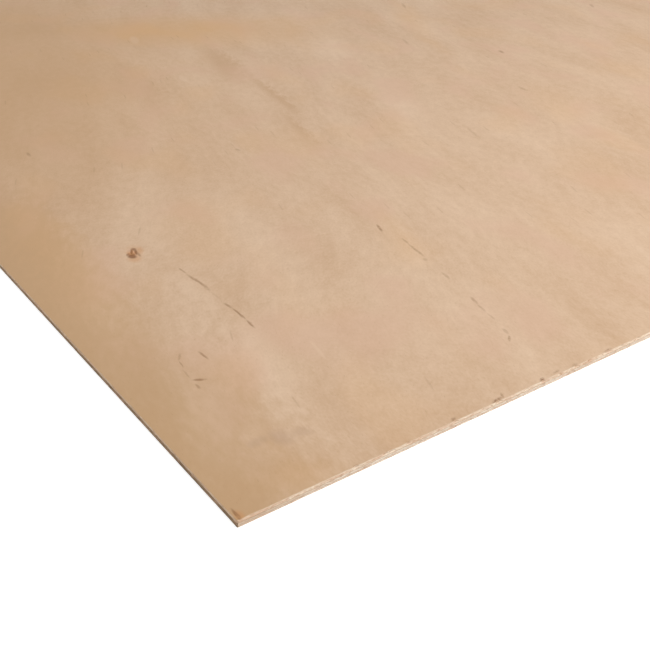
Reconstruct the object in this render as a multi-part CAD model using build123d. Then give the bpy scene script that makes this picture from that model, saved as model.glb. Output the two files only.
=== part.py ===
from build123d import *
import os

# A full sheet of thin three-ply plywood, lying flat with its best face up.
# Origin: middle of the underside, which is the plane Z = 0.
# X runs across the sheet and Y along it, with the grain of the outer plies.
# All sizes are in millimetres.

# Sheet, as it is trimmed at the mill
sheet_width = 1220.0
sheet_length = 2440.0

# Veneers, each peeled from the log at its own thickness
face_thickness = 1.2
core_thickness = 1.2
back_thickness = 1.2

# Edges: the trimmed arrises and corners are only just broken by handling
arris_break = 0.15
corner_radius = 0.5


def sheet_outline():
    """Trimmed outline that all the plies share, with its four corners a little rounded."""
    return RectangleRounded(sheet_width, sheet_length, corner_radius)


def ply(base, thickness):
    """One veneer: the sheet's outline, from height base up through its own thickness."""
    return extrude(Plane.XY.offset(base) * sheet_outline(), amount=thickness)


def break_arris(veneer, outward):
    """Chamfer round the one rim of an outer veneer that is open to wear, at its outward face."""
    rim = veneer.faces().sort_by(Axis.Z)[outward].outer_wire().edges()
    return chamfer(rim, arris_break)


def back_ply():
    """Lowest veneer, grain along the sheet: its underside is what the sheet lies on."""
    return break_arris(ply(0, back_thickness), 0)


def core_ply():
    """Middle veneer, laid with its grain across the sheet and glued on both sides."""
    return ply(back_thickness, core_thickness)


def face_ply():
    """Top veneer, grain along the sheet: the clear side that is left on show."""
    return break_arris(ply(back_thickness + core_thickness, face_thickness), -1)


def main():
    """Write each veneer to its own file, from the underside up."""
    os.makedirs("parts", exist_ok=True)
    veneers = {"back_ply": back_ply(), "core_ply": core_ply(), "face_ply": face_ply()}
    for name, solid in veneers.items():
        export_step(solid, f"parts/{name}.step")


if __name__ == "__main__":
    main()
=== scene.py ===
"""A sheet of thin three-ply plywood, finished for its picture.

Three glued veneers lie flat with the best face up. The face is a pale, pinkish tan with a soft, cloudy
rotary-cut figure, a pin knot, short gum streaks, and a smudge and a bruise near one corner. It is darker
and yellower along the two long edges, partly in the wood itself and partly by painted shade, and a
painted highlight pales it along the top arris of both ends. The sawn edges show the three plies and their
glue lines, with painted shade on the lower plies along the long edges. Small splinters are torn from
their upper arris, with painted shade in their hollows and on the face behind the nicks of the near end.
Lengths in the mesh code are in metres. Patterns on the wood are laid out in millimetres from the sheet's
near left corner, with x across the sheet, y along it and z up.
"""

import math
from collections import namedtuple

import bpy
import numpy as np
from bpy.props import FloatProperty, FloatVectorProperty, IntProperty, PointerProperty
from bpy.types import Operator, Panel, PropertyGroup
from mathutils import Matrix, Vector


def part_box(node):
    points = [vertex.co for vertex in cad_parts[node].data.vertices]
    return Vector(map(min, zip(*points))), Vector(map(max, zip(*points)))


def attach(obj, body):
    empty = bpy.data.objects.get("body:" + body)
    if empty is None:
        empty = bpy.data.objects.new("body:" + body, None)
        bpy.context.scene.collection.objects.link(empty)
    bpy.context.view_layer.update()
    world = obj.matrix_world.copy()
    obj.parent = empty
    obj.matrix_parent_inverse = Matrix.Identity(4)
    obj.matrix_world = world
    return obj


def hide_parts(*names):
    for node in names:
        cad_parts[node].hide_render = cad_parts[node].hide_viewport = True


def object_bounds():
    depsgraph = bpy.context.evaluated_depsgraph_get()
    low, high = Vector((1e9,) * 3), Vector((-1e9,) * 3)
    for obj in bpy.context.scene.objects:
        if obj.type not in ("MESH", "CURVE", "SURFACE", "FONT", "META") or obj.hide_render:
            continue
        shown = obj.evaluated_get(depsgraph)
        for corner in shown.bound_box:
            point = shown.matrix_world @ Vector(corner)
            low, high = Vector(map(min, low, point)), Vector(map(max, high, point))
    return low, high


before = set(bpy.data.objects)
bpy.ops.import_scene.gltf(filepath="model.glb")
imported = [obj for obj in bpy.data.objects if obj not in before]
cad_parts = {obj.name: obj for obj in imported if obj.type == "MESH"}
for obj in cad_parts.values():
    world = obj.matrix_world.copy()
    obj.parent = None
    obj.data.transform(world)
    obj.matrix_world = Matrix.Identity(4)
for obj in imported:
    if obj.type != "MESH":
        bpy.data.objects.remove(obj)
CAD_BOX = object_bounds()

bl_info = {
    "name": "Plywood Sheet",
    "version": (1, 0, 0),
    "blender": (4, 5, 0),
    "location": "View3D > Sidebar > Plywood",
    "description": "Finishes a three-ply sheet: veneers, sawn edges, studio",
    "category": "Object",
}

MM = 0.001
PER_METRE = 1000.0
WHITE = (1.0, 1.0, 1.0, 1.0)

# Sides of the sheet, in the order in which its outline is walked
NEAR_END, RIGHT_EDGE, FAR_END, LEFT_EDGE = range(4)
ENDS = (NEAR_END, FAR_END)

# The way a ply's grain runs. Its end grain shows on the ends, sides 0 and 2, where the grain runs along
# the sheet, and on the long edges, sides 1 and 3, where it runs across.
ALONG, ACROSS = range(2)

# Material places on every ply
FACE_SLOT, END_GRAIN_SLOT, LONG_GRAIN_SLOT = range(3)

# Rows of a ply's profile, from the rim of its top face round the sawn wall to the rim of its bottom face
TOP_ARRIS = 2
WALL_ROWS = 4
WALL = slice(TOP_ARRIS + 1, TOP_ARRIS + 1 + WALL_ROWS)
BOTTOM_ARRIS = TOP_ARRIS + 1 + WALL_ROWS

# Stations round each corner of the outline, an even number, half of them for each side
BEND_STATIONS = 2

# Distance from the sawn wall at which a face is flat again, in widths of the worn arris
FLAT_FROM = 8

# Saw roughness: the share of it that differs from row to row, and how much of it reaches the arrises
ROW_SHARE = 0.6
ARRIS_SHARE = 0.7

# Random splinters: half length and depth in millimetres, and the share of that depth on the long edges
SPLINTER_HALF = (0.8, 2.8)
SPLINTER_DEPTH = (0.1, 0.7)
LONG_EDGE_SHARE = 0.3

# A splinter's depth on the arris and on the first two rows of the wall, and how far the first one drops
TEAR_SHARES = (1.0, 0.8, 0.25)
TEAR_DROP = 0.35

# Depth of a splinter at which the painted shade in its hollow is full
FULL_SHADE_DEPTH = 0.6 * MM

# An oval mark in the wood, in millimetres from the near left corner. Turn is in degrees, anticlockwise
# from the length of the sheet, and depth is how strongly the mark shows in its middle.
Mark = namedtuple("Mark", "across along length width turn depth")

# Dark gum: a broken row, a curl between it and the corner, and a second broken row
GUM_STREAKS = (
    Mark(84.5, 204.5, 13, 2, 0, 0.40),
    Mark(85.5, 188, 27, 3, 5, 0.55),
    Mark(86, 178, 12, 3, -5, 0.40),
    Mark(85.5, 166, 15, 2, 0, 0.15),
    Mark(85.5, 153, 11, 2.5, 10, 0.50),
    Mark(86, 142, 20, 2, 0, 0.65),
    Mark(85.5, 129.5, 13, 2, -5, 0.65),
    Mark(49.5, 116, 12, 2, 5, 0.65),
    Mark(39, 122, 9, 2, -30, 0.30),
    Mark(36.5, 115.5, 9, 1.5, -10, 0.40),
    Mark(34.5, 106, 13, 1.5, -5, 0.25),
    Mark(37, 98, 9, 3, 60, 0.65),
    Mark(33.5, 93.5, 7, 2, 0, 0.40),
    Mark(215, 183.5, 15, 3, -20, 0.65),
    Mark(216.5, 159.5, 12, 2, -10, 0.35),
    Mark(214, 146, 26, 2.5, -10, 0.40),
    Mark(210.5, 133, 6, 4, -30, 0.25),
    Mark(207, 110.5, 13, 2.5, -10, 0.30),
    Mark(200.5, 79, 12, 2.5, -15, 0.40),
    Mark(198, 70.5, 13, 2.5, -15, 0.30),
    Mark(196, 60.5, 10, 2, -10, 0.25),
    Mark(191.5, 45, 8, 3, -15, 0.30),
    Mark(188, 38.5, 8, 2, -40, 0.55),
)

# Softer gum marks further from the corner
GUM_SPOTS = (
    Mark(562, 434, 16, 6, -20, 0.50),
    Mark(508, 517, 34, 5, -25, 0.25),
    Mark(604, 638, 40, 5, -30, 0.30),
    Mark(781, 513, 26, 6, -35, 0.35),
    Mark(79, 436, 14, 4, -5, 0.40),
    Mark(212, 354, 9, 4, 0, 0.30),
    Mark(495, 337, 20, 5, -10, 0.25),
    Mark(383, 280, 30, 4, -20, 0.20),
)

PALE_STREAKS = (
    Mark(100, 87, 25, 2.5, -10, 0.40),
    Mark(64, 47, 10, 5, 0, 0.40),
    Mark(263, 536, 26, 8, -10, 0.40),
    Mark(285, 682, 40, 12, -20, 0.30),
)

# Soft patches of darker, paler and yellower wood
DARK_CLOUDS = (
    Mark(5, 5, 90, 60, 0, 0.50),
    Mark(85, 0, 170, 45, 90, 0.25),
    Mark(150, 600, 1300, 230, -20, 0.30),
    Mark(35, 17, 50, 40, -90, 0.30),
    Mark(48, 12, 36, 22, -85, 0.35),
    Mark(32, 315, 220, 80, -15, 0.70),
    Mark(240, 760, 420, 200, 55, 0.40),
    Mark(220, 545, 240, 80, -12, 0.40),
    Mark(320, 560, 160, 35, -15, 0.50),
    Mark(307, 455, 175, 15, -12, 0.50),
    Mark(275, 363, 140, 15, -15, 0.40),
)
PALE_CLOUDS = (
    Mark(70, 100, 160, 45, -10, 0.48),
    Mark(77, 170, 90, 25, 0, 0.25),
    Mark(435, 540, 150, 80, -10, 0.35),
    Mark(375, 360, 300, 60, -17, 0.35),
    Mark(125, 330, 150, 60, -15, 0.25),
    Mark(220, 85, 400, 140, -80, 0.15),
    Mark(335, 150, 300, 170, -22, 0.22),
    Mark(150, 120, 110, 70, -20, 0.25),
    Mark(20, 68, 65, 40, -15, 0.48),
    Mark(32, 45, 30, 22, -30, 0.35),
    Mark(55, 53, 34, 20, 55, 0.30),
)
GOLDEN_CLOUDS = (
    Mark(110, 760, 1250, 700, -8, 0.50),
    Mark(320, 700, 500, 220, 55, 0.65),
    Mark(22, 255, 340, 90, -5, 0.60),
    Mark(570, 580, 255, 50, -28, 0.25),
    Mark(495, 300, 140, 70, -25, 0.15),
    Mark(28, 12, 60, 30, 80, 0.20),
    Mark(218, 167, 95, 36, -25, 0.18),
)

# Where the darker border of the long edge reaches further in: partly the wood's own tone, partly painted
# shade
BORDER_SHADE_PATCH = Mark(150, 650, 1100, 260, -20, 0.33)

# The pin knot: dark bark, two ovals of wood that it holds, and the stained wood round it
KNOT_BARK = (
    Mark(68.5, 238, 8.5, 6.5, 15, 0.72),
    Mark(67.5, 241.5, 5, 3, -40, 0.50),
    Mark(70, 239.5, 5, 3.5, -20, 0.50),
    Mark(71, 244, 11.5, 2.2, -25, 0.60),
    Mark(73.5, 246, 5.5, 4, 0, 0.60),
    Mark(73, 242, 11, 2.5, -17, 0.65),
    Mark(73, 238, 8, 2.2, -8, 0.35),
)
KNOT_WOOD = (
    Mark(70.5, 246, 8.5, 2.5, -25, 0.50),
    Mark(72, 243, 5, 1.5, -25, 0.40),
)
KNOT_STAIN = (
    Mark(70.5, 242, 16, 9.5, -18, 0.85),
    Mark(72, 242, 28, 14, -18, 0.36),
    Mark(68.5, 234.5, 15, 12, -8, 0.42),
    Mark(75.5, 242.5, 16, 8, -24, 0.42),
)

# A grey smudge near the corner, of three ovals
SMUDGE = (
    Mark(43.5, 36.5, 22, 17, 50, 0.40),
    Mark(53.5, 34.5, 13.5, 10.5, 55, 0.30),
    Mark(33, 39.5, 14.5, 9, -80, 0.30),
)

# The near left corner, knocked and handled: a crack, a bruise, its stain, and dirt on the sawn wood
CRACK = Mark(2, 4, 11, 2.5, 0, 0.85)
BRUISE = Mark(2, 2, 6, 2.5, -10, 0.80)
BRUISE_STAIN = Mark(2.5, 2.5, 10, 6, -10, 0.50)
HANDLED_CORNER = Mark(0, 0, 90, 6, 90, 0.9)

# The part of the face that has the gum above, and no stray gum lines
MARKED_AREA = Mark(400, 430, 1500, 1100, -35, 1.0)

# Splinters torn from the top arris of the near end: millimetres from the left corner, length and depth
NEAR_END_NICKS = (
    (60, 3.5, 0.9),
    (89, 3, 0.6),
    (117, 3.5, 0.6),
    (144, 5, 1.0),
    (174, 4, 0.9),
    (185, 4, 0.6),
    (197, 4, 0.6),
    (221, 6, 0.8),
    (244, 3.5, 0.7),
)

# Painted shade of the nicks, in the knot's colour, on the face behind all but the last of them
NICK_SHADE_SPOTS = (
    Mark(60, 0.5, 4, 3, -75, 0.40),
    Mark(89, 0.5, 4, 2.5, -80, 0.30),
    Mark(117, 2, 4.5, 3, -65, 0.45),
    Mark(144, 1.5, 9, 3, -80, 0.70),
    Mark(148.5, 3, 6, 2, -30, 0.45),
    Mark(174, 1.5, 5, 3, -60, 1.00),
    Mark(185, 2.5, 6, 2.5, -80, 0.35),
    Mark(197, 1.5, 6, 2.5, -80, 0.35),
    Mark(221, 1, 9, 3, -80, 0.45),
)

# How much of a mark's half width fades out, from its outline inwards
CLOUD_FADE = 1.0
STAIN_FADE = 0.8
GUM_FADE = 0.7
FIRM_FADE = 0.6
AREA_FADE = 0.3

# Far more than the sheet's thickness, so that a pattern looks the same all through it
THROUGH = 1000.0

# A random pattern: the size of its patches in millimetres, how much fine detail it has, what is added to
# the seed for it, and its share of the tone, which runs from the deep colour at 0 to the pale one at 1
Pattern = namedtuple("Pattern", "across along detail shift up share", defaults=(THROUGH, 0.0))

# Patterns of the peeled face
WANDER = Pattern(260, 520, 2.0, 0)
CLOUDS = Pattern(55, 170, 2.0, 3, share=0.65)
PATCHES = Pattern(25, 110, 1.0, 5, share=0.70)
MOTTLE = Pattern(5, 11, 2.0, 7, share=0.75)
SPECKS = Pattern(1.2, 2.4, 2.0, 11, share=0.65)
WAVES = Pattern(3, 9, 2.0, 13)
ROSY_PATCHES = Pattern(45, 80, 1.0, 17)
GOLDEN_PATCHES = Pattern(50, 90, 1.0, 19)
PORES = Pattern(0.4, 3.0, 1.0, 23)
GUM_BREAKS = Pattern(1.5, 5.0, 1.0, 29)
TEAR_BREAKS = Pattern(1.2, 1.2, 2.0, 31)

# Patterns of the sawn edges: streaks of the cut are short across the grain and long along it
CUT_PATCHES = Pattern(14, 14, 2.0, 0, up=2.5, share=3.0)
CHIPS = Pattern(2.5, 2.5, 3.0, 7, up=0.7, share=4.0)
SAWN_ACROSS = Pattern(0.8, 0.8, 2.0, 3, up=0.25, share=1.2)
SAWN_ALONG = Pattern(20.0, 20.0, 2.0, 3, up=0.25, share=1.2)
TINGES = Pattern(7, 7, 2.0, 11, up=2.0)

# Short random lines, one in about every second cell of across by along millimetres. Size is a line's half
# width in cells, and its half length in cells too, so cells much longer than wide give long thin lines.
Lines = namedtuple("Lines", "across along size shift depth")
STRAY_GUM = Lines(45, 900, 0.022, 0, 0.55)
FLECKS = Lines(14, 150, 0.05, 37, 0.16)

# Tone of the face and of the sawn edges where no pattern or mark moves it
FACE_TONE = 0.5
EDGE_TONE = 0.6

# How the grain of the face leans, in degrees, and how far it wanders, in millimetres for a value of 1
GRAIN_TURN = 19.0
GRAIN_WANDER = 90.0

# How far a pattern with a value of 1 shifts the outlines of clouds, gum and the dark border, in millimetres
CLOUD_SHIFT = 12.0
GUM_SHIFT = 1.6
BORDER_CLOUD_SHIFT = 35.0
BORDER_MOTTLE_SHIFT = 25.0

# Roughness of the wood, how much its patterns change it, and the height of its bumps in metres
FACE_ROUGHNESS, FACE_ROUGHNESS_CHANGE, FACE_BUMP = 0.64, 0.12, 0.00003
EDGE_ROUGHNESS, EDGE_ROUGHNESS_CHANGE, EDGE_BUMP = 0.8, 0.1, 0.00012

# How deep the pores are in the bumps, next to the specks
PORE_DEPTH = 2.0

# How much painted shade, in the glue's colour, darkens the wood in a splinter's hollow
SPLINTER_SHADE_SHARE = 0.6

# A lamp: its place and target in metres from the near left corner, the side of its square in metres and
# the angle over which it shines in degrees. Its power is with the studio's choices.
Lamp = namedtuple("Lamp", "name place target size spread")
LAMPS = (
    Lamp("key", (1.05, -0.95, 1.3), (0.4, 0.3, 0.0), 1.0, 180.0),
    Lamp("fill", (0.9, 2.6, 1.7), (0.7, 2.0, 0.0), 1.2, 100.0),
    Lamp("side", (-1.1, 0.35, 0.2), (0.0, 0.2, 0.0), 0.5, 180.0),
)

# The floor: half its side and its drop below the sheet, in metres
FLOOR_HALF = 15.0
FLOOR_DROP = 0.0002


def linear(colour):
    """An sRGB colour as the linear one that a shader's socket takes, with full alpha."""
    return tuple(c / 12.92 if c <= 0.04045 else ((c + 0.055) / 1.055) ** 2.4 for c in colour) + (1.0,)


def colour_choice(name, description, red, green, blue):
    """A colour property whose default is given as sRGB numbers from 0 to 255."""
    return FloatVectorProperty(
        name=name,
        description=description,
        subtype="COLOR_GAMMA",
        size=3,
        min=0.0,
        max=1.0,
        default=(red / 255, green / 255, blue / 255),
    )


def length_choice(name, description, millimetres):
    """A length property whose default is given in millimetres."""
    default = millimetres * MM
    return FloatProperty(name=name, description=description, unit="LENGTH", default=default, precision=5)


def angle_choice(name, description, degrees):
    """An angle property whose default is given in degrees."""
    return FloatProperty(name=name, description=description, subtype="ANGLE", default=math.radians(degrees))


def power_choice(name, description, watts):
    """A lamp's power as a property."""
    return FloatProperty(name=name, description=description, unit="POWER", default=watts)


class PlywoodEdges(PropertyGroup):
    """How the sheet's edges were sawn and worn."""

    end_step: length_choice("End step", "Spacing of the outline's points along the two ends", 1.0)
    side_step: length_choice("Side step", "Spacing of the outline's points along the two long edges", 2.0)
    corner_radius: length_choice("Corner radius", "Rounding of the sheet's corners in plan", 0.6)
    arris_break: length_choice("Arris break", "Width of the worn arris of the outer plies", 0.15)
    cross_cut: length_choice("Cross cut", "Roughness where the saw went across a ply's grain", 0.14)
    rip_cut: length_choice("Rip cut", "Roughness where the saw went along a ply's grain", 0.04)
    glue_recess: length_choice("Glue recess", "Depth of the hollow at a glue line", 0.08)
    rim: length_choice("Rim", "Width of the strip of face that is modelled with the edge", 6.0)
    splinter_spacing: length_choice("Splinter spacing", "Mean distance between small splinters", 20.0)
    seed: IntProperty(name="Seed", description="Changes the sawn surface", default=7, min=0)


class PlywoodColours(PropertyGroup):
    """Colours of the raw wood, some of them also used for painted shade and a painted highlight. Lower plies
    are the core and the back.
    """

    pale: colour_choice("Pale", "Lightest wood of the face", 231, 201, 172)
    deep: colour_choice("Deep", "Darkest wood of the face", 207, 171, 137)
    rosy: colour_choice("Rosy", "Pink tinge in patches", 222, 183, 156)
    golden: colour_choice("Golden", "Yellow tinge in patches", 223, 178, 129)
    # Border: partly the wood's own darker tone along the long edges, partly painted shade
    border_and_shade: colour_choice("Border", "Darkened wood along the long edges", 200, 163, 124)
    gum: colour_choice("Gum", "Gum streaks, flecks and pores", 150, 108, 72)
    # Knot colour also paints shade on the face behind the nicks of the near end
    knot: colour_choice("Knot", "Bark of the pin knot and bruised wood", 114, 66, 30)
    halo: colour_choice("Halo", "Stain round the pin knot and the bruise", 206, 146, 94)
    smudge: colour_choice("Smudge", "Grey smudge near the corner", 184, 150, 125)
    # End pale also paints a highlight on the face along the top arris of both ends
    end_pale: colour_choice("End pale", "Face ply on the ends, clean", 246, 226, 202)
    end_deep: colour_choice("End deep", "Face ply on the ends, rough", 220, 184, 154)
    side_pale: colour_choice("Side pale", "Face ply on the long edges, clean", 232, 206, 176)
    side_deep: colour_choice("Side deep", "Face ply on the long edges, rough", 208, 178, 147)
    lower_end_pale: colour_choice("Lower end pale", "Lower plies on the ends, clean", 246, 230, 212)
    lower_end_deep: colour_choice("Lower end deep", "Lower plies on the ends, rough", 222, 198, 174)
    # Lower plies on the long edges: painted shade, far darker than on the ends; the core's end grain there is
    # also a little darker in itself
    lower_side_pale: colour_choice("Lower side pale", "Lower plies on the long edges, clean", 168, 142, 114)
    lower_side_deep: colour_choice("Lower side deep", "Lower plies on the long edges, rough", 130, 106, 82)
    # Glue colour also paints shade in the hollows of the splinters
    glue: colour_choice("Glue", "Glue lines, pits and splinters", 176, 142, 112)


class PlywoodStudio(PropertyGroup):
    """Camera, lamps and floor."""

    camera_across: length_choice("Camera across", "Camera's place from the near left corner, across", -144.74)
    camera_along: length_choice("Camera along", "Camera's place from the near left corner, along", -266.47)
    camera_height: length_choice("Camera height", "Camera's height over the floor", 275.99)
    camera_yaw: angle_choice("Camera yaw", "How far it looks to the right of the sheet's length", 35.184)
    camera_pitch: angle_choice("Camera pitch", "How far it looks below the horizon", 30.926)
    lens: FloatProperty(name="Lens", description="Focal length", unit="CAMERA", default=55.0)
    key_power: power_choice("Key power", "Lamp in front", 31.5)
    fill_power: power_choice("Fill power", "Lamp over the far end", 3.2)
    side_power: power_choice("Side power", "Low lamp on the left", 3.2)
    ambient: FloatProperty(name="Ambient", description="Strength of the even light around", default=0.30)
    floor: colour_choice("Floor", "Paper of the floor", 232, 232, 230)
    floor_glow: FloatProperty(name="Floor glow", description="Light added for the camera", default=0.78)


class Value:
    """An output socket of a material's or a world's nodes, on which sums are written as in Python."""

    def __init__(self, nodes, socket):
        self.nodes = nodes
        self.socket = socket

    def sum(self, operation, first, second=0.0):
        return self.nodes.add("ShaderNodeMath", {"operation": operation}, {0: first, 1: second})

    def __add__(self, other):
        return self.sum("ADD", self, other)

    def __radd__(self, other):
        return self.sum("ADD", other, self)

    def __sub__(self, other):
        return self.sum("SUBTRACT", self, other)

    def __rsub__(self, other):
        return self.sum("SUBTRACT", other, self)

    def __mul__(self, other):
        return self.sum("MULTIPLY", self, other)

    def __rmul__(self, other):
        return self.sum("MULTIPLY", other, self)

    def __abs__(self):
        return self.sum("ABSOLUTE", self)

    def most(self, other):
        return self.sum("MAXIMUM", self, other)


class Nodes:
    """The nodes of a material or a world."""

    def __init__(self, tree):
        self.tree = tree
        tree.nodes.clear()

    def add(self, kind, settings=None, inputs=None, out=0):
        """Adds a node: its settings are made first, then its sockets get their values or links."""
        node = self.tree.nodes.new(kind)
        for name, value in (settings or {}).items():
            setattr(node, name, value)
        for name, value in (inputs or {}).items():
            if isinstance(value, Value):
                self.tree.links.new(value.socket, node.inputs[name])
            else:
                node.inputs[name].default_value = value
        return Value(self, node.outputs[out]) if node.outputs else None


class Recipe(Nodes):
    """A material under its name, and the nodes that are added to it."""

    def __init__(self, name):
        self.material = bpy.data.materials.new(name)
        self.material.use_nodes = True
        super().__init__(self.material.node_tree)

    def vector(self, operation, *inputs):
        """A sum on vectors, whose result is a number for a dot product or a distance."""
        out = "Value" if operation in ("DOT_PRODUCT", "DISTANCE") else "Vector"
        settings = {"operation": operation}
        return self.add("ShaderNodeVectorMath", settings, dict(enumerate(inputs)), out)

    def place(self):
        """Millimetres from the near left corner of the underside."""
        here = self.add("ShaderNodeTexCoord", out="Object")
        corner = tuple(-side * PER_METRE for side in CAD_BOX[0])
        return self.vector("MULTIPLY_ADD", here, (PER_METRE,) * 3, corner)

    def part(self, place, axis):
        """One coordinate of a place: X across, Y along or Z up."""
        return self.add("ShaderNodeSeparateXYZ", inputs={"Vector": place}, out=axis)

    def turned(self, place, degrees):
        """Place turned about the near left corner, anticlockwise."""
        return self.add(
            "ShaderNodeMapping",
            {"vector_type": "POINT"},
            {"Vector": place, "Rotation": (0.0, 0.0, math.radians(degrees))},
        )

    def shifted(self, place, across):
        """Place moved across the sheet by a value in millimetres."""
        offset = self.add("ShaderNodeCombineXYZ", inputs={"X": across})
        return self.vector("ADD", place, offset)

    def noise(self, place, pattern, seed):
        """A random pattern as a smooth value, about -0.5 to 0.5."""
        scale = (1 / pattern.across, 1 / pattern.along, 1 / pattern.up)
        scaled = self.vector("MULTIPLY_ADD", place, scale, (seed + pattern.shift,) * 3)
        patches = self.add(
            "ShaderNodeTexNoise",
            {"noise_dimensions": "3D"},
            {"Vector": scaled, "Scale": 1.0, "Detail": pattern.detail, "Roughness": 0.55},
        )
        return patches - 0.5

    def ramp(self, value, low, high, start=0.0, end=1.0):
        """Value taken smoothly from low..high to start..end, and held there."""
        return self.add(
            "ShaderNodeMapRange",
            {"interpolation_type": "SMOOTHSTEP"},
            {"Value": value, "From Min": low, "From Max": high, "To Min": start, "To Max": end},
        )

    def mix(self, share, first, second):
        """Two colours mixed: none of the second at share 0, all of it at 1."""
        return self.add(
            "ShaderNodeMix",
            {"data_type": "RGBA", "clamp_factor": True},
            {"Factor": share, 6: first, 7: second},
            out=2,
        )

    def coated(self, body, coats):
        """A body colour under coats, each a share and an sRGB colour, with the last one on top."""
        for share, colour in coats:
            body = self.mix(share, body, linear(colour))
        return body

    def distance(self, place, mark):
        """0 at the middle of a mark and 1 on its oval outline."""
        turn = math.radians(mark.turn)
        right = Vector((math.cos(turn), math.sin(turn), 0.0)) * 2 / mark.width
        forward = Vector((-math.sin(turn), math.cos(turn), 0.0)) * 2 / mark.length
        middle = Vector((mark.across, mark.along, 0.0))
        sideways = self.vector("DOT_PRODUCT", place, right)
        lengthways = self.vector("DOT_PRODUCT", place, forward)
        local = self.add("ShaderNodeCombineXYZ", inputs={"X": sideways, "Y": lengthways})
        return self.vector("DISTANCE", local, (middle.dot(right), middle.dot(forward), 0.0))

    def marks(self, place, marks, fade):
        """Where any of the marks lies: its depth in the middle, fading out over this share of its size."""
        found = 0.0
        for mark in marks:
            spot = self.ramp(self.distance(place, mark), low=1.0, high=1.0 - fade, end=mark.depth)
            found = spot.most(found)
        return found

    def streaks(self, place, lines, seed):
        """Where any of the random lines lies, and its depth."""
        scale = (1 / lines.across, 1 / lines.along, 0.0)
        cells = self.vector("MULTIPLY_ADD", place, scale, (seed + lines.shift,) * 3)
        settings = {"voronoi_dimensions": "2D", "feature": "F1"}
        away = self.add("ShaderNodeTexVoronoi", settings, {"Vector": cells, "Scale": 1.0}, out="Distance")
        chance = self.add("ShaderNodeTexVoronoi", settings, {"Vector": cells, "Scale": 1.0}, out="Color")
        line = self.ramp(away, low=lines.size, high=lines.size / 2)
        return line * self.ramp(chance, low=0.45, high=0.6) * lines.depth

    def finish(self, colour, roughness, height, depth):
        """Raw wood: colour and roughness over the surface, and a bump of this depth in metres."""
        bump = self.add("ShaderNodeBump", inputs={"Height": height, "Distance": depth, "Strength": 1.0})
        inputs = {"Base Color": colour, "Roughness": roughness, "Normal": bump}
        inputs.update({"IOR": 1.45, "Specular IOR Level": 0.15})
        wood = self.add("ShaderNodeBsdfPrincipled", inputs=inputs)
        self.add("ShaderNodeOutputMaterial", inputs={"Surface": wood})
        return self.material


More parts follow.
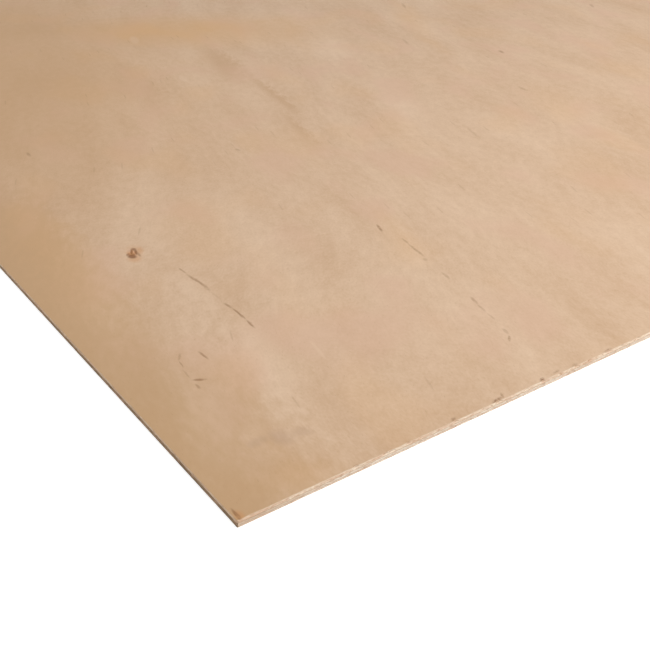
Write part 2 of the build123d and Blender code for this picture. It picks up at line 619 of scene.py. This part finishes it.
def veneer_material(name, colours, seed, marked):
    """Peeled veneer with its grain along the sheet, and the marks listed above where marked is true."""
    wood = Recipe(name)
    place = wood.place()
    wander = wood.noise(place, WANDER, seed)
    grain = wood.shifted(wood.turned(place, GRAIN_TURN), wander * GRAIN_WANDER)
    clouds = wood.noise(grain, CLOUDS, seed)
    patches = wood.noise(grain, PATCHES, seed)
    mottle = wood.noise(grain, MOTTLE, seed)
    specks = wood.noise(grain, SPECKS, seed)
    tone = FACE_TONE + clouds * CLOUDS.share + patches * PATCHES.share
    tone = tone + mottle * MOTTLE.share + specks * SPECKS.share
    wavy = wood.shifted(place, wood.noise(place, WAVES, seed) * GUM_SHIFT)
    rosy = wood.ramp(wood.noise(grain, ROSY_PATCHES, seed), low=0.0, high=0.2, end=0.45)
    golden = wood.ramp(wood.noise(grain, GOLDEN_PATCHES, seed), low=0.0, high=0.2, end=0.16)
    stray_gum = wood.streaks(grain, STRAY_GUM, seed)
    flecks = wood.streaks(grain, FLECKS, seed)
    half_width = CAD_BOX[1].x * PER_METRE
    to_edge = half_width - abs(wood.part(place, "X") - half_width)
    uneven_edge = to_edge + clouds * BORDER_CLOUD_SHIFT + mottle * BORDER_MOTTLE_SHIFT
    # Darker, yellower wood along both long edges: partly the wood's own tone, partly painted shade
    border_and_shade = wood.ramp(uneven_edge, low=72.0, high=-16.0)
    half_length = CAD_BOX[1].y * PER_METRE
    to_end = half_length - abs(wood.part(place, "Y") - half_length)
    # Painted highlight: the face is paled with the end colour along the top arris of both ends
    arris_highlight = wood.ramp(to_end + mottle, low=0.9, high=0.2, end=0.75)
    pores = wood.ramp(wood.noise(grain, PORES, seed), low=0.17, high=0.26, end=0.22)
    if marked:
        uneven = wood.shifted(place, (clouds + mottle) * CLOUD_SHIFT)
        dark = wood.marks(uneven, DARK_CLOUDS, CLOUD_FADE)
        tone = tone + wood.marks(uneven, PALE_CLOUDS, CLOUD_FADE) - dark
        golden = golden + wood.marks(uneven, GOLDEN_CLOUDS, CLOUD_FADE)
        stray_gum = stray_gum * (1 - wood.marks(place, (MARKED_AREA,), AREA_FADE))
        border_and_shade = border_and_shade.most(wood.marks(uneven, (BORDER_SHADE_PATCH,), CLOUD_FADE))
    coats = [
        (rosy, colours.rosy),
        (golden, colours.golden),
        (border_and_shade, colours.border_and_shade),
        (arris_highlight, colours.end_pale),
        (pores, colours.gum),
        (stray_gum, colours.gum),
        (flecks, colours.gum),
    ]
    if marked:
        broken = wood.ramp(wood.noise(place, GUM_BREAKS, seed), low=-0.22, high=0.02, start=0.45)
        torn = wood.ramp(wood.noise(place, TEAR_BREAKS, seed), low=-0.15, high=0.05, start=0.3)
        coats += [
            (wood.marks(wavy, PALE_STREAKS, FIRM_FADE), colours.pale),
            (wood.marks(uneven, SMUDGE, STAIN_FADE), colours.smudge),
            (wood.marks(wavy, (*KNOT_STAIN, BRUISE_STAIN), STAIN_FADE), colours.halo),
            (wood.marks(wavy, (*GUM_STREAKS, CRACK, BRUISE), GUM_FADE) * broken, colours.gum),
            (wood.marks(wavy, GUM_SPOTS, STAIN_FADE) * broken, colours.gum),
            # Painted shade of the nicks on the face behind them
            (wood.marks(wavy, NICK_SHADE_SPOTS, STAIN_FADE) * torn, colours.knot),
            (wood.marks(place, KNOT_BARK, FIRM_FADE), colours.knot),
            (wood.marks(place, KNOT_WOOD, FIRM_FADE), colours.rosy),
        ]
    body = wood.coated(wood.mix(tone, linear(colours.deep), linear(colours.pale)), coats)
    roughness = FACE_ROUGHNESS + mottle * FACE_ROUGHNESS_CHANGE
    return wood.finish(body, roughness, specks - pores * PORE_DEPTH, FACE_BUMP)


def edge_material(name, colours, kind, glue_heights, seed, sawn):
    """A sawn edge of one ply, with its glue lines.

    Kind is the start of its two colours' names, and sawn is the pattern of the streaks along the cut.
    """
    wood = Recipe(name)
    place = wood.place()
    patches = wood.noise(place, CUT_PATCHES, seed)
    chips = wood.noise(place, CHIPS, seed)
    streaks = wood.noise(place, sawn, seed)
    handled = wood.marks(place, (HANDLED_CORNER,), CLOUD_FADE)
    tone = EDGE_TONE + patches * CUT_PATCHES.share + chips * CHIPS.share + streaks * sawn.share - handled
    deep = linear(getattr(colours, kind + "_deep"))
    pale = linear(getattr(colours, kind + "_pale"))
    tinge = wood.ramp(wood.noise(place, TINGES, seed), low=0.0, high=0.12, end=0.5)
    pits = wood.ramp(chips, low=-0.08, high=-0.20, end=0.7)
    coats = [(tinge, colours.rosy), (pits, colours.glue)]
    height = wood.part(place, "Z")
    for line in glue_heights:
        near = wood.ramp(abs(height - line * PER_METRE), low=0.16, high=0.06, end=0.7)
        coats.append((near + streaks, colours.glue))
    # Painted shade in the hollows of the splinters, stored on the mesh's points
    splinter = wood.add("ShaderNodeAttribute", {"attribute_name": "splinter"}, out="Fac")
    coats.append((splinter * SPLINTER_SHADE_SHARE, colours.glue))
    body = wood.coated(wood.mix(tone, deep, pale), coats)
    roughness = EDGE_ROUGHNESS + streaks * EDGE_ROUGHNESS_CHANGE
    return wood.finish(body, roughness, streaks + chips, EDGE_BUMP)


def outline(low, high, edges):
    """Stations round the sheet's plan, anticlockwise from the near left corner.

    Each side is a straight row of evenly spaced stations, and each corner a quarter circle. Returns the
    stations, their outward normals, the side each belongs to, and the distance along that side.
    """
    radius = edges.corner_radius
    spans = (high.x - low.x - 2 * radius, high.y - low.y - 2 * radius)
    corners = ((low.x, low.y), (high.x, low.y), (high.x, high.y), (low.x, high.y))
    inward = ((1, 1), (-1, 1), (-1, -1), (1, -1))
    turns = np.linspace(0, 1, BEND_STATIONS + 2)[1:-1] * math.pi / 2
    shared = BEND_STATIONS // 2
    points, normals, sides, runs = [], [], [], []
    for side in (NEAR_END, RIGHT_EDGE, FAR_END, LEFT_EDGE):
        span = spans[side % 2]
        step = edges.end_step if side in ENDS else edges.side_step
        run = np.linspace(0, span, int(round(span / step)) + 1)
        heading = side * math.pi / 2
        forward = np.array([math.cos(heading), math.sin(heading)])
        outward = np.array([forward[1], -forward[0]])
        start = np.array(corners[side]) + np.array(inward[side]) * radius
        points.append(start + outward * radius + run[:, None] * forward)
        normals.append(np.tile(outward, (len(run), 1)))
        bend = outward * np.cos(turns)[:, None] + forward * np.sin(turns)[:, None]
        points.append(start + forward * span + bend * radius)
        normals.append(bend)
        sides += [side] * (len(run) + shared) + [(side + 1) % len(corners)] * shared
        runs += [*(run + radius), *[span + 2 * radius] * shared, *[0.0] * shared]
    return np.vstack(points), np.vstack(normals), np.array(sides), np.array(runs)


def splinters(sides, runs, edges, seed):
    """How deep the arris is torn at each station: the deepest of many small parabolas along the edge."""
    random = np.random.default_rng(seed)
    torn = np.zeros(len(sides))
    for side in (NEAR_END, RIGHT_EDGE, FAR_END, LEFT_EDGE):
        here = sides == side
        length = runs[here].max()
        count = int(length / edges.splinter_spacing)
        middle = random.uniform(0, length, count)
        half = random.uniform(*SPLINTER_HALF, count) * MM
        depth = random.uniform(*SPLINTER_DEPTH, count) * MM * (1.0 if side in ENDS else LONG_EDGE_SHARE)
        if side == NEAR_END:
            nicks = np.array(NEAR_END_NICKS) * MM
            middle = np.concatenate([middle, nicks[:, 0]])
            half = np.concatenate([half, nicks[:, 1] / 2])
            depth = np.concatenate([depth, nicks[:, 2]])
        reach = 1 - ((runs[here][:, None] - middle) / half) ** 2
        torn[here] = (np.clip(reach, 0, 1) * depth).max(1)
    return torn


def ply_mesh(name, low, high, edges, seed, grain, open_top, open_bottom):
    """One veneer: a profile carried round the outline, closed by two flat faces.

    The profile runs from the top face's rim over the arris, down the sawn edge and under the bottom rim.
    Its point at station s and row k is outline(s) shrunk towards the middle by drawn_in(k), less
    normal(s) times inset(s, k), at height(s, k). The inset is saw roughness from arris to arris, plus the
    worn arris or glue recess in the two arris rows, plus splinters at and below an open top arris.
    """
    points, normals, sides, runs = outline(low, high, edges)
    random = np.random.default_rng(seed)
    count = len(points)
    wear = edges.arris_break
    top_inset = wear if open_top else edges.glue_recess
    bottom_inset = wear if open_bottom else edges.glue_recess
    drawn_in = np.array([edges.rim, FLAT_FROM * wear, *[0] * (WALL_ROWS + 2), FLAT_FROM * wear, edges.rim])
    rows = len(drawn_in)
    wall = np.linspace(high.z - top_inset, low.z + bottom_inset, WALL_ROWS)
    flat_rows = TOP_ARRIS + 1
    profile = np.concatenate([[high.z] * flat_rows, wall, [low.z] * flat_rows])
    height = np.repeat(profile[:, None], count, 1)
    end_grain = sides % 2 == grain
    cross = np.where(end_grain, edges.cross_cut, edges.rip_cut)
    rough = random.random((WALL_ROWS, count)) * ROW_SHARE + random.random(count) * (1 - ROW_SHARE)
    inset = np.zeros((rows, count))
    inset[WALL] = rough * cross
    inset[TOP_ARRIS] = top_inset + rough[0] * cross * ARRIS_SHARE
    inset[BOTTOM_ARRIS] = bottom_inset + rough[-1] * cross * ARRIS_SHARE
    torn = splinters(sides, runs, edges, seed + 1) if open_top else np.zeros(count)
    for row, share in enumerate(TEAR_SHARES, TOP_ARRIS):
        inset[row] += torn * share
    height[TOP_ARRIS + 1] -= torn * TEAR_DROP
    half = np.array([high.x - low.x, high.y - low.y]) / 2
    shrunk = points * (1 - drawn_in[:, None, None] / half)
    across = shrunk - normals * inset[..., None]
    places = np.concatenate([across, height[..., None]], 2).reshape(-1, 3)
    first = np.arange(rows - 1)[:, None] * count + np.arange(count)
    second = np.arange(rows - 1)[:, None] * count + (np.arange(count) + 1) % count
    quads = np.stack([first, first + count, second + count, second], -1).reshape(-1, 4)
    top = list(range(count))
    bottom = [(rows - 1) * count + i for i in reversed(range(count))]
    mesh = bpy.data.meshes.new(name)
    mesh.from_pydata(places.tolist(), [], quads.tolist() + [top, bottom])
    slots = np.full((rows - 1, count), FACE_SLOT)
    slots[TOP_ARRIS:BOTTOM_ARRIS] = np.where(end_grain, END_GRAIN_SLOT, LONG_GRAIN_SLOT)
    mesh.polygons.foreach_set("material_index", np.append(slots.ravel(), [FACE_SLOT] * 2).astype(np.int32))
    # Painted shade in each splinter's hollow, by its depth
    splinter = np.zeros((rows, count))
    splinter[TOP_ARRIS:TOP_ARRIS + 2] = np.clip(torn / FULL_SHADE_DEPTH, 0, 1)
    layer = mesh.attributes.new("splinter", "FLOAT", "POINT")
    layer.data.foreach_set("value", splinter.ravel().astype(np.float32))
    mesh.update()
    return mesh


def add_ply(context, node, grain, seed, materials, open_top=False, open_bottom=False):
    """Makes the finished veneer that stands for a CAD node, in that node's own box."""
    low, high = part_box(node)
    edges = context.scene.plywood_edges
    mesh = ply_mesh(node + "_veneer", low, high, edges, edges.seed + seed, grain, open_top, open_bottom)
    for material in materials:
        mesh.materials.append(material)
    piece = bpy.data.objects.new(node + "_veneer", mesh)
    context.scene.collection.objects.link(piece)
    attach(piece, "root")
    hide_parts(node)


class PLYWOOD_OT_face_ply(Operator):
    """Make the top veneer, its grain along the sheet, with the marks of its face"""

    bl_idname = "plywood.face_ply"
    bl_label = "Face ply"

    def execute(self, context):
        colours = context.scene.plywood_colours
        glued = (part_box("face_ply")[0].z,)
        end = edge_material("face_end", colours, "end", glued, 41.0, SAWN_ACROSS)
        side = edge_material("face_side", colours, "side", glued, 43.0, SAWN_ALONG)
        face = veneer_material("face_wood", colours, 2.0, True)
        add_ply(context, "face_ply", ALONG, 1, (face, end, side), open_top=True)
        return {"FINISHED"}


class PLYWOOD_OT_core_ply(Operator):
    """Make the middle veneer, its grain across the sheet"""

    bl_idname = "plywood.core_ply"
    bl_label = "Core ply"

    def execute(self, context):
        colours = context.scene.plywood_colours
        glued = tuple(corner.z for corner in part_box("core_ply"))
        # The core's end grain on the long edges takes the painted shade of the lower plies
        end = edge_material("core_end", colours, "lower_side", glued, 51.0, SAWN_ACROSS)
        side = edge_material("core_side", colours, "lower_end", glued, 53.0, SAWN_ALONG)
        face = veneer_material("core_wood", colours, 12.0, False)
        add_ply(context, "core_ply", ACROSS, 2, (face, end, side))
        return {"FINISHED"}


class PLYWOOD_OT_back_ply(Operator):
    """Make the bottom veneer, its grain along the sheet"""

    bl_idname = "plywood.back_ply"
    bl_label = "Back ply"

    def execute(self, context):
        colours = context.scene.plywood_colours
        glued = (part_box("back_ply")[1].z,)
        end = edge_material("back_end", colours, "lower_end", glued, 61.0, SAWN_ACROSS)
        # The back's long edges take the painted shade of the lower plies
        side = edge_material("back_side", colours, "lower_side", glued, 63.0, SAWN_ALONG)
        face = veneer_material("back_wood", colours, 22.0, False)
        add_ply(context, "back_ply", ALONG, 3, (face, end, side), open_bottom=True)
        return {"FINISHED"}


def area_lamp(context, corner, lamp, power):
    """A square soft lamp, placed from a corner of the sheet."""
    data = bpy.data.lights.new(lamp.name, "AREA")
    data.size = lamp.size
    data.energy = power
    data.spread = math.radians(lamp.spread)
    place = corner + Vector(lamp.place)
    target = corner + Vector(lamp.target)
    light = bpy.data.objects.new(lamp.name, data)
    light.location = place
    light.rotation_euler = (target - place).to_track_quat("-Z", "Y").to_euler()
    light.visible_camera = False
    context.scene.collection.objects.link(light)


def paper_floor(context, studio):
    """A wide flat floor just under the sheet, white to the camera where nothing shades it."""
    half, height = FLOOR_HALF, -FLOOR_DROP
    corners = [(-half, -half, height), (half, -half, height), (half, half, height), (-half, half, height)]
    mesh = bpy.data.meshes.new("floor")
    mesh.from_pydata(corners, [], [(0, 1, 2, 3)])
    paper = Recipe("floor_paper")
    rays = paper.add("ShaderNodeLightPath", out="Is Camera Ray")
    matt = paper.add("ShaderNodeBsdfDiffuse", inputs={"Color": linear(studio.floor)})
    glow = paper.add("ShaderNodeEmission", inputs={"Color": WHITE, "Strength": studio.floor_glow})
    both = paper.add("ShaderNodeAddShader", inputs={0: matt, 1: glow})
    seen = paper.add("ShaderNodeMixShader", inputs={0: rays, 1: matt, 2: both})
    paper.add("ShaderNodeOutputMaterial", inputs={"Surface": seen})
    mesh.materials.append(paper.material)
    floor = bpy.data.objects.new("floor", mesh)
    context.scene.collection.objects.link(floor)


def studio_light(context, studio):
    """Even white light around: white to the camera and in gloss, and at its own strength elsewhere."""
    world = bpy.data.worlds.new("studio")
    context.scene.world = world
    world.use_nodes = True
    sky = Nodes(world.node_tree)
    seen = sky.add("ShaderNodeLightPath", out="Is Camera Ray")
    for ray in ("Is Glossy Ray", "Is Transmission Ray"):
        seen = seen.most(sky.add("ShaderNodeLightPath", out=ray))
    shares = {"Factor": seen, "A": studio.ambient, "B": 1.0}
    strength = sky.add("ShaderNodeMix", inputs=shares, out="Result")
    background = sky.add("ShaderNodeBackground", inputs={"Color": WHITE, "Strength": strength})
    sky.add("ShaderNodeOutputWorld", inputs={"Surface": background})


class PLYWOOD_OT_stage(Operator):
    """Make the floor, the lamps and the camera"""

    bl_idname = "plywood.stage"
    bl_label = "Stage"

    def execute(self, context):
        studio = context.scene.plywood_studio
        corner = Vector((CAD_BOX[0].x, CAD_BOX[0].y, 0.0))
        paper_floor(context, studio)
        studio_light(context, studio)
        for lamp in LAMPS:
            area_lamp(context, corner, lamp, getattr(studio, lamp.name + "_power"))
        data = bpy.data.cameras.new("camera")
        data.lens = studio.lens
        camera = bpy.data.objects.new("camera", data)
        camera.location = corner + Vector((studio.camera_across, studio.camera_along, studio.camera_height))
        camera.rotation_euler = (math.pi / 2 - studio.camera_pitch, 0.0, -studio.camera_yaw)
        context.scene.collection.objects.link(camera)
        context.scene.camera = camera
        context.scene.view_settings.view_transform = "Standard"
        return {"FINISHED"}


class PLYWOOD_PT_sheet(Panel):
    """Sizes, colours and steps of the plywood sheet"""

    bl_label = "Plywood sheet"
    bl_idname = "PLYWOOD_PT_sheet"
    bl_space_type = "VIEW_3D"
    bl_region_type = "UI"
    bl_category = "Plywood"

    def draw(self, context):
        for step in STEPS:
            self.layout.operator(step.bl_idname)
        for name, group in GROUPS.items():
            box = self.layout.box()
            for choice in group.__annotations__:
                box.prop(getattr(context.scene, name), choice)


STEPS = (PLYWOOD_OT_back_ply, PLYWOOD_OT_core_ply, PLYWOOD_OT_face_ply, PLYWOOD_OT_stage)
GROUPS = {
    "plywood_edges": PlywoodEdges,
    "plywood_colours": PlywoodColours,
    "plywood_studio": PlywoodStudio,
}


def register():
    for cls in (*GROUPS.values(), *STEPS, PLYWOOD_PT_sheet):
        bpy.utils.register_class(cls)
    for name, group in GROUPS.items():
        setattr(bpy.types.Scene, name, PointerProperty(type=group))


def unregister():
    for name in GROUPS:
        delattr(bpy.types.Scene, name)
    for cls in (PLYWOOD_PT_sheet, *reversed(STEPS), *reversed(GROUPS.values())):
        bpy.utils.unregister_class(cls)


def main():
    register()
    bpy.ops.plywood.back_ply()
    bpy.ops.plywood.core_ply()
    bpy.ops.plywood.face_ply()
    bpy.ops.plywood.stage()


if __name__ == "__main__":
    main()
